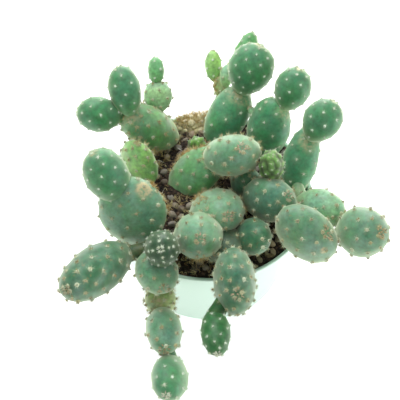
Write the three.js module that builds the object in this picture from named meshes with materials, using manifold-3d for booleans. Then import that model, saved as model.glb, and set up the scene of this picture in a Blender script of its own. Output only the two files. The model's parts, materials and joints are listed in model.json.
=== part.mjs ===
// Potted paddle cactus: a clump of ten stems standing in the soil of a round tapered pot.
// Millimetres, +Z up, origin at the centre of the pot's foot on the floor.
import * as THREE from 'three';
import { mergeVertices } from 'three/addons/utils/BufferGeometryUtils.js';
import Module from 'manifold-3d';

const wasm = await Module();
wasm.setup();

// ---- pot ----
const POT_HEIGHT = 74;
const POT_RIM_RADIUS = 63;
const POT_BASE_RADIUS = 51;
const POT_WALL = 2.2;
const POT_FLOOR = 3;
const POT_SIDES = 40;
const FOOT_INNER_RADIUS = 44;
const FOOT_PAD_RADIUS = 12;
const FOOT_RECESS = 1.5;
const DRAIN_COUNT = 5;
const DRAIN_RADIUS = 4;
const DRAIN_CIRCLE = 28;

// ---- soil and gravel ----
const GAP = 0.4;
const SOIL_EDGE_BELOW_RIM = 1.8;
const SOIL_MOUND = 4;
const SOIL_SIDES = 24;
const PEBBLE_COUNT = 76;
const PEBBLE_SMALL = 3;
const PEBBLE_LARGE = 5;

// ---- plant ----
const PAD_SIDES = 9;
const PAD_RINGS = [0, 0.04, 0.17, 0.38, 0.62, 0.83, 0.96, 1];
const PAD_ROUNDING = 1.03;
const PAD_SKEW = 1.12;
const PAD_FULLNESS = 0.52;
const JOINT_SHARE = 0.3;
const ROOT_BOTTOM = 50;
const ROOT_RADIUS = 4.5;
const SPINE_LENGTH = 2.6;
const SPINE_RADIUS = 0.45;
const SPINE_SUNK = 0.8;
const SPINE_STEP_SMALL = 6;
const SPINE_STEP_LARGE = 4;
const SMALL_PAD_LENGTH = 24;
const TUFT_SPINES = 3;
const SPINE_FREE_HEIGHT = 82;

const GOLDEN = Math.PI * (3 - Math.sqrt(5));
const DEG = Math.PI / 180;

// Every pad of the plant: the pad it grows on, where its lower end is, which way it aims
// (degrees round the vertical from +X, degrees up), its length, breadth and thickness, and
// how far it is rolled about its own length.
const STEMS = {
  stem_back_left: {
    a2: {on: null, base: [-20, 43, 69], aim: [202, 49], size: [50, 28, 25], roll: 5},
    a3: {on: 'a2', base: [-46, 29, 107], aim: [107, 47], size: [30, 19, 17], roll: 10},
    a4: {on: 'a2', base: [-51, 31, 105], aim: [-174, 14], size: [27, 21, 18], roll: 50},
    a5: {on: 'a2', base: [-30, 45, 93], aim: [98, 44], size: [20, 18, 14], roll: 0},
    a6: {on: 'a5', base: [-32, 56, 106], aim: [91, 46], size: [17, 10, 9], roll: 0},
  },
  stem_left: {
    a1: {on: null, base: [-41, 7, 69], aim: [95, 84], size: [35, 27, 15], roll: 45},
  },
  stem_back: {
    b1: {on: null, base: [1, 37, 68], aim: [47, 46], size: [45, 26, 21], roll: -15},
    b2: {on: 'b1', base: [20, 54, 100], aim: [53, 55], size: [33, 28, 22], roll: -22},
    b3: {on: 'b1', base: [16, 64, 100], aim: [64, 34], size: [34, 14, 11], roll: -28},
    b6: {on: 'b1', base: [11, 61, 86], aim: [108, 38], size: [17, 10, 8], roll: 15},
    b4: {on: 'b6', base: [4, 71, 94], aim: [94, 42], size: [20, 11, 8], roll: 5},
    b5: {on: 'b6', base: [11, 66, 94], aim: [79, 41], size: [15, 9, 7], roll: -5},
  },
  stem_back_right: {
    c1: {on: null, base: [34, 27, 68], aim: [69, 65], size: [43, 27, 20], roll: -5},
    c2: {on: 'c1', base: [46, 39, 102], aim: [56, 58], size: [27, 22, 19], roll: -15},
    c3: {on: 'c1', base: [31, 43, 91], aim: [160, 50], size: [9, 6, 5], roll: 0},
  },
  stem_right: {
    d1: {on: null, base: [49, -4, 68], aim: [67, 55], size: [47, 21, 16], roll: 0},
    d2: {on: 'd1', base: [58, 12, 105], aim: [41, 51], size: [27, 22, 18], roll: -25},
    e1: {on: 'd1', base: [51, -13, 80], aim: [-39, 24], size: [33, 22, 18], roll: -40},
    e2: {on: 'e1', base: [74, -38, 85], aim: [-53, 51], size: [36, 27, 24], roll: -70},
  },
  stem_middle_right: {
    f0: {on: null, base: [19, 1, 68], aim: [-25, 73], size: [25, 19, 16], roll: -85},
    f1: {on: 'f0', base: [24, -11, 74], aim: [-38, 50], size: [38, 30, 23], roll: -100},
    f2: {on: 'f1', base: [42, -37, 81], aim: [-41, 47], size: [37, 38, 24], roll: -95},
    f3: {on: 'f1', base: [36, -6, 95], aim: [-119, 78], size: [23, 14, 13], roll: 70},
  },
  stem_centre: {
    h1: {on: null, base: [-25, 4, 68], aim: [10, 38], size: [42, 28, 18], roll: -15},
    h2: {on: 'h1', base: [8, 9, 88], aim: [-61, 60], size: [40, 33, 23], roll: 20},
  },
  stem_front: {
    i1: {on: null, base: [-2, -9, 68], aim: [-67, 46], size: [45, 31, 26], roll: -5},
    i2: {on: 'i1', base: [-7, -31, 74], aim: [-85, 52], size: [40, 26, 27], roll: 90},
    j0: {on: 'i1', base: [6, -32, 78], aim: [-86, 22], size: [25, 27, 18], roll: -5},
    j1: {on: 'i1', base: [18, -32, 78], aim: [-57, 36], size: [27, 21, 18], roll: -40},
    j2: {on: 'j0', base: [12, -57, 78], aim: [-87, 42], size: [41, 35, 22], roll: 90},
    j3: {on: 'j2', base: [2, -85, 85], aim: [-87, 14], size: [29, 15, 14], roll: 0},
  },
  stem_front_left: {
    k0: {on: null, base: [-23, -33, 68], aim: [-108, 50], size: [29, 18, 15], roll: 0},
    k1: {on: 'k0', base: [-25, -52, 91], aim: [-88, 57], size: [30, 19, 18], roll: 80},
    k2: {on: 'k0', base: [-33, -51, 84], aim: [-71, 18], size: [30, 23, 20], roll: 20},
    k3: {on: 'k2', base: [-27, -62, 70], aim: [-88, 3], size: [20, 17, 16], roll: 5},
    k4: {on: 'k3', base: [-25, -77, 68], aim: [-86, 26], size: [33, 20, 18], roll: 45},
    k5: {on: 'k4', base: [-19, -105, 68], aim: [-95, 31], size: [30, 20, 17], roll: 40},
    l1: {on: 'k0', base: [-36, -42, 77], aim: [121, 58], size: [43, 38, 21], roll: 30},
    l2: {on: 'l1', base: [-48, -28, 101], aim: [142, 61], size: [34, 24, 23], roll: 25},
    m1: {on: 'k0', base: [-45, -49, 83], aim: [-121, 33], size: [56, 25, 30], roll: 26},
  },
  stem_sprout: {
    n1: {on: null, base: [-8, 33, 68], aim: [-40, 80], size: [15, 11, 10], roll: 50},
  },
};

// Seeded random numbers, so that the part is the same every time.
function randomFrom(seed) {
  let state = seed;
  return () => {
    state = (state * 1664525 + 1013904223) % 4294967296;
    return state / 4294967296;
  };
}

// Turns a closed geometry into a solid that can be joined and cut.
function solidOf(geometry) {
  const bare = geometry.clone();
  bare.deleteAttribute('normal');
  bare.deleteAttribute('uv');
  const merged = mergeVertices(bare, 1e-4);
  const points = merged.attributes.position;
  const kept = [];
  const a = new THREE.Vector3();
  const b = new THREE.Vector3();
  const c = new THREE.Vector3();
  let volume = 0;
  for (let i = 0; i < merged.index.count; i += 3) {
    const corners = [merged.index.getX(i), merged.index.getX(i + 1), merged.index.getX(i + 2)];
    if (new Set(corners).size < 3) continue;
    kept.push(corners);
    a.fromBufferAttribute(points, corners[0]);
    b.fromBufferAttribute(points, corners[1]);
    c.fromBufferAttribute(points, corners[2]);
    volume += a.dot(b.cross(c));
  }
  const turned = volume < 0 ? kept.map(([i, j, k]) => [i, k, j]) : kept;
  return new wasm.Manifold(new wasm.Mesh({
    numProp: 3,
    vertProperties: new Float32Array(points.array),
    triVerts: new Uint32Array(turned.flat()),
  }));
}

function geometryOf(solid) {
  const mesh = solid.getMesh();
  const geometry = new THREE.BufferGeometry();
  geometry.setAttribute('position', new THREE.BufferAttribute(new Float32Array(mesh.vertProperties), 3));
  geometry.setIndex(new THREE.BufferAttribute(new Uint32Array(mesh.triVerts), 1));
  geometry.computeVertexNormals();
  return geometry;
}

// ---- pads ----

// The pad's own directions: along its length, across its breadth, through its thickness.
function directionsOf(pad) {
  const round = pad.aim[0] * DEG;
  const up = pad.aim[1] * DEG;
  const roll = pad.roll * DEG;
  const along = new THREE.Vector3(
    Math.cos(round) * Math.cos(up),
    Math.sin(round) * Math.cos(up),
    Math.sin(up),
  );
  const level = new THREE.Vector3(-Math.sin(round), Math.cos(round), 0);
  const across = level.clone().multiplyScalar(Math.cos(roll));
  across.addScaledVector(level.clone().cross(along), Math.sin(roll));
  const through = across.clone().cross(along);
  return {along, across, through};
}

// Half-breadth of a pad as a share of its widest, from its lower end (0) to its tip (1).
function padProfile(share) {
  return Math.pow(Math.sin(Math.PI * Math.pow(share, PAD_SKEW)), PAD_FULLNESS) || 0;
}

function pointOnAxis(pad, share) {
  const {along} = directionsOf(pad);
  return new THREE.Vector3(...pad.base).addScaledVector(along, pad.size[0] * share);
}

function padGeometry(pad, grow) {
  const [length, breadth, thickness] = pad.size;
  const {along, across, through} = directionsOf(pad);
  const outline = PAD_RINGS.map((share) => {
    const radius = share === 0 || share === 1 ? 0 : PAD_ROUNDING * padProfile(share);
    return new THREE.Vector2(radius, share);
  });
  const geometry = new THREE.LatheGeometry(outline, PAD_SIDES);
  geometry.scale(breadth / 2 + grow, length + 2 * grow, thickness / 2 + grow);
  geometry.translate(0, -grow, 0);
  const place = new THREE.Matrix4().makeBasis(across, along, through);
  place.setPosition(...pad.base);
  geometry.applyMatrix4(place);
  return geometry;
}

function padSolid(pad, grow) {
  return solidOf(padGeometry(pad, grow));
}

// A round tapered rod between two points, grown by a margin on all sides.
function rodSolid(from, to, radiusFrom, radiusTo, sides, grow) {
  const axis = to.clone().sub(from);
  const geometry = new THREE.CylinderGeometry(
    radiusTo + grow,
    radiusFrom + grow,
    axis.length() + 2 * grow,
    sides,
  );
  const turn = new THREE.Quaternion().setFromUnitVectors(
    new THREE.Vector3(0, 1, 0),
    axis.clone().normalize(),
  );
  geometry.applyQuaternion(turn);
  const middle = from.clone().add(to).multiplyScalar(0.5);
  geometry.translate(middle.x, middle.y, middle.z);
  return solidOf(geometry);
}

// The narrow joint from inside the parent pad to inside this one.
function jointSolid(pad, parent, grow) {
  const base = new THREE.Vector3(...pad.base);
  const inside = pointOnAxis(pad, 0.2);
  let seat = pointOnAxis(parent, 0.3);
  for (let share = 0.3; share <= 0.85; share += 0.05) {
    const candidate = pointOnAxis(parent, share);
    if (candidate.distanceTo(base) < seat.distanceTo(base)) seat = candidate;
  }
  const radius = Math.min(pad.size[2], parent.size[2]) * JOINT_SHARE;
  return rodSolid(seat, inside, radius, radius, 5, grow);
}

function rootSolid(pad, grow) {
  const foot = new THREE.Vector3(pad.base[0], pad.base[1], ROOT_BOTTOM);
  const neck = new THREE.Vector3(pad.base[0], pad.base[1], pad.base[2] + 1);
  const radius = Math.min(ROOT_RADIUS, pad.size[2] * 0.3);
  return rodSolid(foot, neck, radius * 0.7, radius, 7, grow)
    .add(rodSolid(neck, pointOnAxis(pad, 0.3), radius, radius, 7, grow));
}

// How deep a point is in a pad grown by a margin: below 1 is inside.
function depthIn(pad, point, margin) {
  const [length, breadth, thickness] = pad.size;
  const {along, across, through} = directionsOf(pad);
  const offset = point.clone().sub(new THREE.Vector3(...pad.base));
  const share = (offset.dot(along) + margin) / (length + 2 * margin);
  if (share <= 0 || share >= 1) return 9;
  const side = offset.dot(across) / (breadth / 2 + margin);
  const face = offset.dot(through) / (thickness / 2 + margin);
  return Math.hypot(side, face) / padProfile(share);
}

// ---- spines ----

// The middle and the outward direction of one flat of a pad.
function flatOf(pad, geometry, side, band) {
  const first = 6 * (side * (PAD_RINGS.length - 1) + band);
  const corners = [0, 1, 2].map((step) => {
    const corner = geometry.index.getX(first + step);
    return new THREE.Vector3().fromBufferAttribute(geometry.attributes.position, corner);
  });
  const point = corners[0].clone().add(corners[1]).add(corners[2]).multiplyScalar(1 / 3);
  const outward = corners[1].sub(corners[0]).cross(corners[2].sub(corners[0])).normalize();
  if (outward.dot(point.clone().sub(pointOnAxis(pad, 0.5))) < 0) outward.negate();
  return {point, outward};
}

function spineSolid(point, direction, length) {
  const geometry = new THREE.ConeGeometry(SPINE_RADIUS, length + SPINE_SUNK, 3);
  const turn = new THREE.Quaternion().setFromUnitVectors(new THREE.Vector3(0, 1, 0), direction);
  geometry.applyQuaternion(turn);
  const middle = point.clone().addScaledVector(direction, (length - SPINE_SUNK) / 2);
  geometry.translate(middle.x, middle.y, middle.z);
  return solidOf(geometry);
}

// Spines stand even on all sides of a pad, staggered from row to row, with a tuft at its tip.
function spinesOf(pad, random) {
  const {along} = directionsOf(pad);
  const geometry = padGeometry(pad, 0);
  const step = pad.size[0] < SMALL_PAD_LENGTH ? SPINE_STEP_SMALL : SPINE_STEP_LARGE;
  const tipBand = PAD_RINGS.length - 2;
  const spines = [];
  for (let band = 1; band < tipBand; band += 1) {
    for (let side = 0; side < PAD_SIDES; side += 1) {
      if ((side + 2 * band) % step !== 0) continue;
      const {point, outward} = flatOf(pad, geometry, side, band);
      spines.push({point, direction: outward, length: SPINE_LENGTH * (0.8 + 0.4 * random())});
    }
  }
  for (let i = 0; i < TUFT_SPINES; i += 1) {
    const side = Math.floor((i + 0.5) * PAD_SIDES / TUFT_SPINES);
    const {point, outward} = flatOf(pad, geometry, side, tipBand);
    const direction = outward.addScaledVector(point.clone().sub(pointOnAxis(pad, 0.9)), 0.3);
    direction.addScaledVector(along, 0.2).normalize();
    spines.push({point, direction, length: SPINE_LENGTH});
  }
  return spines;
}

function spineIsClear(spine, own, others) {
  const end = spine.point.clone().addScaledVector(spine.direction, spine.length);
  const lowest = Math.min(end.z, spine.point.z);
  if (lowest < SPINE_FREE_HEIGHT && Math.hypot(end.x, end.y) < POT_RIM_RADIUS + 3) return false;
  if (own.some((pad) => depthIn(pad, spine.point, 1) < 1 || depthIn(pad, end, 1) < 1)) return false;
  return !others.some((pad) => depthIn(pad, end, 3) < 1 || depthIn(pad, spine.point, 3) < 1);
}

function stemSolid(stem, others, seed) {
  const random = randomFrom(seed);
  const pads = Object.values(stem);
  let solid = null;
  for (const pad of pads) {
    const body = padSolid(pad, 0);
    solid = solid ? solid.add(body) : body;
    solid = solid.add(pad.on ? jointSolid(pad, stem[pad.on], 0) : rootSolid(pad, 0));
  }
  for (const pad of pads) {
    const own = pads.filter((other) => other !== pad);
    for (const spine of spinesOf(pad, random)) {
      if (!spineIsClear(spine, own, others)) continue;
      solid = solid.add(spineSolid(spine.point, spine.direction, spine.length));
    }
  }
  return solid;
}

// ---- pot ----

function potSolid() {
  const slope = (POT_RIM_RADIUS - POT_BASE_RADIUS) / POT_HEIGHT;
  const innerAtFloor = POT_BASE_RADIUS + slope * POT_FLOOR - POT_WALL;
  const outline = [
    [0, 0],
    [FOOT_PAD_RADIUS, 0],
    [FOOT_PAD_RADIUS + FOOT_RECESS, FOOT_RECESS],
    [FOOT_INNER_RADIUS, FOOT_RECESS],
    [FOOT_INNER_RADIUS + FOOT_RECESS, 0],
    [POT_BASE_RADIUS - 1, 0],
    [POT_BASE_RADIUS, 1],
    [POT_RIM_RADIUS - 0.2, POT_HEIGHT - 2],
    [POT_RIM_RADIUS, POT_HEIGHT - 0.6],
    [POT_RIM_RADIUS - 0.6, POT_HEIGHT],
    [POT_RIM_RADIUS - POT_WALL + 0.4, POT_HEIGHT],
    [POT_RIM_RADIUS - POT_WALL, POT_HEIGHT - 0.5],
    [innerAtFloor + 0.2, POT_FLOOR + 2],
    [innerAtFloor - 2, POT_FLOOR],
    [0, POT_FLOOR],
  ].map(([radius, height]) => new THREE.Vector2(radius, height));
  const body = new THREE.LatheGeometry(outline, POT_SIDES);
  body.rotateX(Math.PI / 2);
  let solid = solidOf(body);
  for (let i = 0; i < DRAIN_COUNT; i += 1) {
    const angle = i * 2 * Math.PI / DRAIN_COUNT;
    const x = DRAIN_CIRCLE * Math.cos(angle);
    const y = DRAIN_CIRCLE * Math.sin(angle);
    const hole = rodSolid(
      new THREE.Vector3(x, y, -1),
      new THREE.Vector3(x, y, POT_FLOOR + 1),
      DRAIN_RADIUS,
      DRAIN_RADIUS,
      12,
      0,
    );
    solid = solid.subtract(hole);
  }
  return solid;
}

// ---- soil ----

function soilHeight(x, y) {
  const edge = POT_RIM_RADIUS - POT_WALL;
  const out = Math.min(1, Math.hypot(x, y - 6) / edge);
  const wave = 0.5 * Math.sin(x * 0.31 + y * 0.17) + 0.4 * Math.sin(y * 0.37 - x * 0.11);
  return POT_HEIGHT - SOIL_EDGE_BELOW_RIM + SOIL_MOUND * (1 - out * out) + wave;
}

function soilSolid(allPads, rootPads, parents) {
  const random = randomFrom(17);
  const slope = (POT_RIM_RADIUS - POT_BASE_RADIUS) / POT_HEIGHT;
  const innerAt = (height) => POT_BASE_RADIUS + slope * height - POT_WALL - GAP;
  const top = POT_HEIGHT - SOIL_EDGE_BELOW_RIM;
  const outline = [
    [0, POT_FLOOR + GAP],
    [innerAt(POT_FLOOR) - 2.4, POT_FLOOR + GAP],
    [innerAt(POT_FLOOR + 3), POT_FLOOR + 3],
    [innerAt(top - 1), top - 1],
    [innerAt(top - 1) - 1, top],
    [49, top],
    [38, top],
    [26, top],
    [13, top],
    [0, top],
  ].map(([radius, height]) => new THREE.Vector2(radius, height));
  const body = new THREE.LatheGeometry(outline, SOIL_SIDES);
  body.rotateX(Math.PI / 2);
  const points = body.attributes.position;
  for (let i = 0; i < points.count; i += 1) {
    const x = points.getX(i);
    const y = points.getY(i);
    if (points.getZ(i) < top - 0.5 || Math.hypot(x, y) > 51) continue;
    points.setZ(i, soilHeight(x, y));
  }
  let solid = solidOf(body);
  for (let i = 0; i < PEBBLE_COUNT; i += 1) {
    const radius = PEBBLE_SMALL + (PEBBLE_LARGE - PEBBLE_SMALL) * random();
    const out = 53 * Math.sqrt((i + 0.5) / PEBBLE_COUNT);
    const angle = i * GOLDEN;
    const x = out * Math.cos(angle) + random() - 0.5;
    const y = out * Math.sin(angle) + random() - 0.5;
    const pebble = new THREE.IcosahedronGeometry(radius, 0);
    pebble.scale(1, 0.7 + 0.3 * random(), 0.5 + 0.2 * random());
    pebble.rotateX(0.5 * random());
    pebble.rotateZ(2 * Math.PI * random());
    const centre = new THREE.Vector3(x, y, soilHeight(x, y) + 0.15 * radius);
    if (allPads.some((pad) => depthIn(pad, centre, radius * 0.9) < 1)) continue;
    pebble.translate(centre.x, centre.y, centre.z);
    solid = solid.add(solidOf(pebble));
  }
  for (const pad of allPads) {
    const lowest = Math.min(pad.base[2], pointOnAxis(pad, 1).z) - pad.size[1] / 2;
    if (lowest > POT_HEIGHT + SOIL_MOUND + 4) continue;
    solid = solid.subtract(padSolid(pad, GAP));
    if (pad.on) solid = solid.subtract(jointSolid(pad, parents[pad.on], GAP));
  }
  for (const pad of rootPads) solid = solid.subtract(rootSolid(pad, GAP));
  return solid;
}

// ---- the part ----

function material(color, roughness) {
  return new THREE.MeshStandardMaterial({color, roughness, metalness: 0});
}

const STEM_COLOURS = {
  stem_back_left: '#5f9468',
  stem_back: '#5c9270',
  stem_back_right: '#4f8768',
  stem_right: '#4f8a6c',
  stem_middle_right: '#5a9a80',
  stem_centre: '#4f9a7c',
  stem_front: '#6ba58a',
  stem_front_left: '#5a9480',
  stem_sprout: '#35684a',
};

const group = new THREE.Group();
group.name = 'potted_paddle_cactus';

function addPiece(name, solid, color, roughness) {
  const mesh = new THREE.Mesh(geometryOf(solid), material(color, roughness));
  mesh.name = name;
  group.add(mesh);
}

const allPads = Object.values(STEMS).flatMap((stem) => Object.values(stem));
const rootPads = allPads.filter((pad) => !pad.on);

addPiece('pot', potSolid(), '#e4f0e8', 0.35);
addPiece('soil', soilSolid(allPads, rootPads, Object.assign({}, ...Object.values(STEMS))), '#4a3a2e', 0.95);
Object.entries(STEMS).forEach(([name, stem], index) => {
  const others = Object.entries(STEMS)
    .filter(([other]) => other !== name)
    .flatMap(([, pads]) => Object.values(pads));
  addPiece(name, stemSolid(stem, others, 101 + index), STEM_COLOURS[name], 0.7);
});

export default group;
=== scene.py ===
import json
import math
from collections import namedtuple

import bpy
import numpy as np
from bpy.props import FloatProperty, FloatVectorProperty, IntProperty, PointerProperty
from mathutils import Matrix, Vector, noise

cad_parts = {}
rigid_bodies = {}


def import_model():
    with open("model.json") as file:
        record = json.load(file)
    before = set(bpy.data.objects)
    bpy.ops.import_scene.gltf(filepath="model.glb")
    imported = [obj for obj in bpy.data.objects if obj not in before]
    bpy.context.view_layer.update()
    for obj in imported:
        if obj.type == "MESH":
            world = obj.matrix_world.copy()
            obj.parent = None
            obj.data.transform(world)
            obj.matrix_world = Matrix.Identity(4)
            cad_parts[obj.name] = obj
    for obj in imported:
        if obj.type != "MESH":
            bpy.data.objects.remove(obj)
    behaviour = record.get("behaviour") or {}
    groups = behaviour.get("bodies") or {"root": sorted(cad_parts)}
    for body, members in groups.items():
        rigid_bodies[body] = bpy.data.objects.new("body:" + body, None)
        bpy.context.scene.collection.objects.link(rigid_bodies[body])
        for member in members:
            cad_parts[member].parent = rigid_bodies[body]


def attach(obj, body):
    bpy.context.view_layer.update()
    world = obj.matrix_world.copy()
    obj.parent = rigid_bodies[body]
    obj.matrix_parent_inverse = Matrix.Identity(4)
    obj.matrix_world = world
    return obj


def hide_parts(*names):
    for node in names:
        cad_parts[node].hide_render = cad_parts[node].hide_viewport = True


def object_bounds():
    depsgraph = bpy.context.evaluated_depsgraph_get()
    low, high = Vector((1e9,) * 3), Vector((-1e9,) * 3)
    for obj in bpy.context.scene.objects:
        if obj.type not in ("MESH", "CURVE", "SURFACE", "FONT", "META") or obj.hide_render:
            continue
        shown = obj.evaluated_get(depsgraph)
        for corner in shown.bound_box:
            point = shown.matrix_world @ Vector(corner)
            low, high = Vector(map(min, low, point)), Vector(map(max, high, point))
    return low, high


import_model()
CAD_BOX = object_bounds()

bl_info = {
    "name": "Potted paddle cactus",
    "version": (1, 0, 0),
    "blender": (4, 5, 0),
    "location": "3D View > Sidebar > Cactus",
    "description": "Builds a clumping paddle cactus in its pot, one piece at a time",
    "category": "Object",
}

MM = 0.001
GOLDEN_ANGLE = math.pi * (3 - math.sqrt(5))

# The pot and its soil in mm, as in the part's source: the foot is a ring and a flat spot in its
# middle, and the soil's face is a low mound just under the rim.
POT_HEIGHT, POT_RIM_RADIUS, POT_BASE_RADIUS = 74, 63, 51
POT_WALL, POT_FLOOR = 2.2, 3
FOOT_INNER_RADIUS, FOOT_PAD_RADIUS, FOOT_RECESS = 44, 12, 1.5
DRAIN_COUNT, DRAIN_RADIUS, DRAIN_CIRCLE = 5, 4, 28
SOIL_EDGE = POT_HEIGHT - 1.8
SOIL_MOUND, SOIL_MOUND_Y, SOIL_GAP = 4, 6, 0.4
HEAP_MIDDLE, HEAP_SPREAD = (-10, 56), (12, 9)

# The photo's view, in metres and radians.
AIM_POINT = Vector((-0.005, -0.008, 0.074))
CAMERA_DISTANCE = 0.4
CAMERA_ELEVATION = math.radians(54.3)


def linear(hex_colour):
    """An sRGB hex colour as the linear colour, with alpha 1, that shaders and properties take."""
    parts = [int(hex_colour[i:i + 2], 16) / 255 for i in (1, 3, 5)]
    return tuple(p / 12.92 if p <= 0.04045 else ((p + 0.055) / 1.055) ** 2.4
                 for p in parts) + (1.0,)


# ---------------------------------------------------------------- growth plan
# Every pad of the plant, by stem: name, the pad it grows on, where its lower end is, which way it
# aims (degrees round the vertical from +X, degrees up), its length, breadth and thickness in mm,
# how far it is rolled about its own length, and which skin it has.
Pad = namedtuple("Pad", "name parent base aim size roll skin")
STEMS = {
    "stem_back_left": [
        Pad("a2", None, (-20, 43, 69), (202, 49), (50, 28, 25), 5, "mossy"),
        Pad("a3", "a2", (-46, 29, 107), (107, 47), (30, 19, 17), 10, "young"),
        Pad("a4", "a2", (-51, 31, 105), (-174, 14), (27, 21, 18), 50, "young"),
        Pad("a5", "a2", (-30, 45, 93), (98, 44), (20, 18, 14), 0, "pale"),
        Pad("a6", "a5", (-32, 56, 106), (91, 46), (17, 10, 9), 0, "bright"),
    ],
    "stem_left": [
        Pad("a1", None, (-41, 7, 69), (95, 84), (35, 27, 15), 45, "fresh"),
    ],
    "stem_back": [
        Pad("b1", None, (1, 37, 68), (47, 46), (45, 26, 21), -15, "smooth"),
        Pad("b2", "b1", (20, 54, 100), (53, 55), (33, 28, 22), -22, "young"),
        Pad("b3", "b1", (16, 64, 100), (64, 34), (34, 14, 11), -28, "vivid"),
        Pad("b6", "b1", (11, 61, 86), (108, 38), (17, 10, 8), 15, "corky"),
        Pad("b4", "b6", (4, 71, 94), (94, 42), (20, 11, 8), 5, "lime"),
        Pad("b5", "b6", (11, 66, 94), (79, 41), (15, 9, 7), -5, "pale"),
    ],
    "stem_back_right": [
        Pad("c1", None, (34, 27, 68), (69, 65), (43, 27, 20), -5, "smooth"),
        Pad("c2", "c1", (46, 39, 102), (56, 58), (27, 22, 19), -15, "young"),
        Pad("c3", "c1", (31, 43, 91), (160, 50), (9, 6, 5), 0, "pale"),
    ],
    "stem_right": [
        Pad("d1", None, (49, -4, 68), (67, 55), (47, 21, 16), 0, "smooth"),
        Pad("d2", "d1", (58, 12, 105), (41, 51), (27, 22, 18), -25, "young"),
        Pad("e1", "d1", (51, -13, 80), (-39, 24), (33, 22, 18), -40, "clear"),
        Pad("e2", "e1", (74, -38, 85), (-53, 51), (36, 27, 24), -70, "old"),
    ],
    "stem_middle_right": [
        Pad("f0", None, (19, 1, 68), (-25, 73), (25, 19, 16), -85, "blue"),
        Pad("f1", "f0", (24, -11, 74), (-38, 50), (38, 30, 23), -100, "blue"),
        Pad("f2", "f1", (42, -37, 81), (-41, 47), (37, 38, 24), -95, "old"),
        Pad("f3", "f1", (36, -6, 95), (-119, 78), (23, 14, 13), 70, "sprout"),
    ],
    "stem_centre": [
        Pad("h1", None, (-25, 4, 68), (10, 38), (42, 28, 18), -15, "mossy"),
        Pad("h2", "h1", (8, 9, 88), (-61, 60), (40, 33, 23), 20, "mint"),
    ],
    "stem_front": [
        Pad("i1", None, (-2, -9, 68), (-67, 46), (45, 31, 26), -5, "mint"),
        Pad("i2", "i1", (-7, -31, 74), (-85, 52), (40, 26, 27), 90, "mint"),
        Pad("j0", "i1", (6, -32, 78), (-86, 22), (25, 27, 18), -5, "painted_deep_shade"),
        Pad("j1", "i1", (18, -32, 78), (-57, 36), (27, 21, 18), -40, "painted_half_shade"),
        Pad("j2", "j0", (12, -57, 78), (-87, 42), (41, 35, 22), 90, "painted_half_shade"),
        Pad("j3", "j2", (2, -85, 85), (-87, 14), (29, 15, 14), 0, "deep"),
    ],
    "stem_front_left": [
        Pad("k0", None, (-23, -33, 68), (-108, 50), (29, 18, 15), 0, "painted_deep_shade"),
        Pad("k1", "k0", (-25, -52, 91), (-88, 57), (30, 19, 18), 80, "shaded"),
        Pad("k2", "k0", (-33, -51, 84), (-71, 18), (30, 23, 20), 20, "mint"),
        Pad("k3", "k2", (-27, -62, 70), (-88, 3), (20, 17, 16), 5, "corky"),
        Pad("k4", "k3", (-25, -77, 68), (-86, 26), (33, 20, 18), 45, "blue"),
        Pad("k5", "k4", (-19, -105, 68), (-95, 31), (30, 20, 17), 40, "young"),
        Pad("l1", "k0", (-36, -42, 77), (121, 58), (43, 38, 21), 30, "mint"),
        Pad("l2", "l1", (-48, -28, 101), (142, 61), (34, 24, 23), 25, "young"),
        Pad("m1", "k0", (-45, -49, 83), (-121, 33), (56, 25, 30), 26, "painted_half_shade"),
    ],
    "stem_sprout": [
        Pad("n1", None, (-8, 33, 68), (-40, 80), (15, 11, 10), 50, "sprout"),
    ],
}

# Skin kinds: body colour, waxy bloom 0-1, corkiness of the foot 0-1, age of the areoles from 0
# (white wool) to 1 (tan tufts), height of the bumps under them and their spacing, both in mm.
Skin = namedtuple("Skin", "body bloom cork age bump spacing")
SKINS = {
    "young": Skin("#247b4d", 0.12, 0.12, 0.00, 0.20, 6.5),
    # A much darker copy of the young green, for a pad in the shade of its neighbours: painted
    # shade.
    "shaded": Skin("#07401f", 0.00, 0.12, 0.00, 0.24, 5.0),
    "deep": Skin("#17622c", 0.00, 0.10, 0.00, 0.26, 5.4),
    "bright": Skin("#60aa72", 0.10, 0.25, 0.15, 0.26, 5.8),
    "vivid": Skin("#378c43", 0.06, 0.25, 0.15, 0.24, 5.8),
    "fresh": Skin("#7ab658", 0.08, 0.60, 0.50, 0.32, 6.4),
    "lime": Skin("#97cc70", 0.08, 0.40, 0.30, 0.26, 5.8),
    "sprout": Skin("#6cab38", 0.02, 0.20, 0.10, 1.30, 4.6),
    "pale": Skin("#90c292", 0.22, 0.40, 0.60, 0.22, 6.2),
    "clear": Skin("#79b385", 0.30, 0.40, 0.80, 0.18, 8.0),
    "old": Skin("#3f8059", 0.25, 0.40, 0.90, 0.18, 8.2),
    "mossy": Skin("#489051", 0.15, 0.50, 0.90, 0.20, 7.8),
    "mint": Skin("#4e9069", 0.35, 0.40, 0.85, 0.18, 8.0),
    "smooth": Skin("#2c885a", 0.15, 0.20, 0.40, 0.16, 8.6),
    "blue": Skin("#3b8161", 0.20, 0.35, 0.80, 0.18, 7.6),
    # Darker copies of the green, for pads that sit in shade between others: painted shade.
    "painted_half_shade": Skin("#1b6343", 0.03, 0.35, 0.80, 0.18, 7.4),
    "painted_deep_shade": Skin("#1d4224", 0.06, 0.50, 0.80, 0.22, 7.5),
    "corky": Skin("#93aa66", 0.12, 0.70, 1.00, 0.25, 4.8),
}

# Pads whose growing tip carries a star of crowded areoles: how far its arms reach in mm, and
# the colour of its wool.
STARS = {
    "h2": (3.6, "#d6baa2"), "i1": (3.6, "#d6baa2"), "i2": (3.6, "#d8b69c"),
    "f1": (3.2, "#d2b09c"), "f2": (3.8, "#cfb292"), "e2": (3.2, "#c6ae80"),
    "k2": (3.2, "#d5bfa4"), "k4": (3.4, "#c2a480"), "j2": (3.8, "#d5bb9c"),
    "m1": (3.0, "#bba888"), "k1": (2.2, "#d4dccd"), "k5": (2.6, "#e0d8c5"),
    "j3": (2.4, "#eeeadf"),
}

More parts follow.
